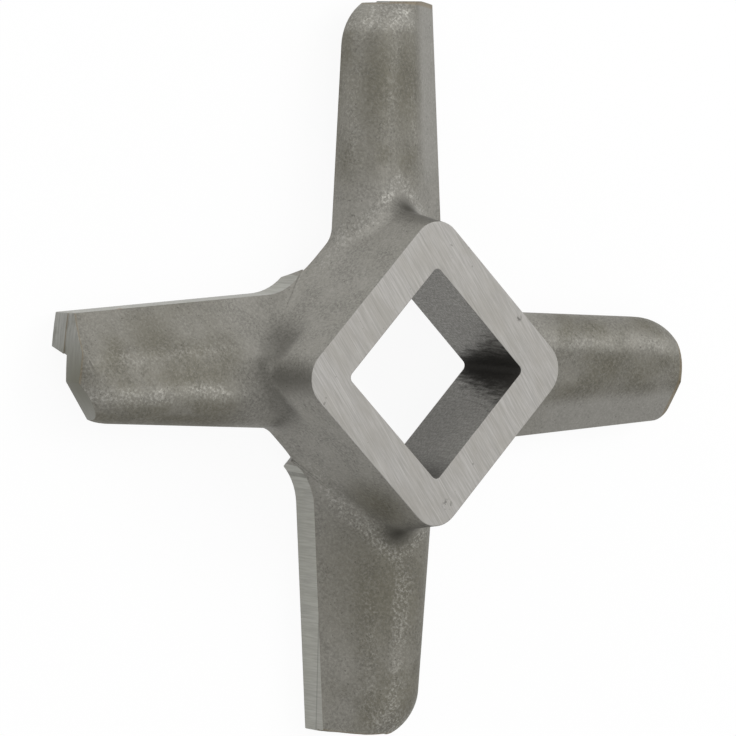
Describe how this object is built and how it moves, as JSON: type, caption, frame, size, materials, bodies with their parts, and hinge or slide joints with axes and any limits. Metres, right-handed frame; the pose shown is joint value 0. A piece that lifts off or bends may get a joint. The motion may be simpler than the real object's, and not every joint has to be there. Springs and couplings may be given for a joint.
{
  "type": "meat grinder knife",
  "caption": "Cross-shaped cast steel knife for a meat grinder: raised cutting lands under tapered arms, ground leading faces and a square drive hole through a square boss.",
  "frame": {"origin": "on the axis of rotation, in the cutting plane of the lands", "axes": "+Z along the axis of rotation from the cutting plane to the hub face; the flats of the square drive face X and Y, and the arms lie on the diagonals"},
  "size_m": [0.0509, 0.0513, 0.0112],
  "materials": {
    "cast_steel": "shot-blasted as-cast skin, with ground hub face, leading faces and lands"
  },
  "bodies": {
    "root": {"grinder_knife": "cast_steel"}
  },
  "joints": []
}
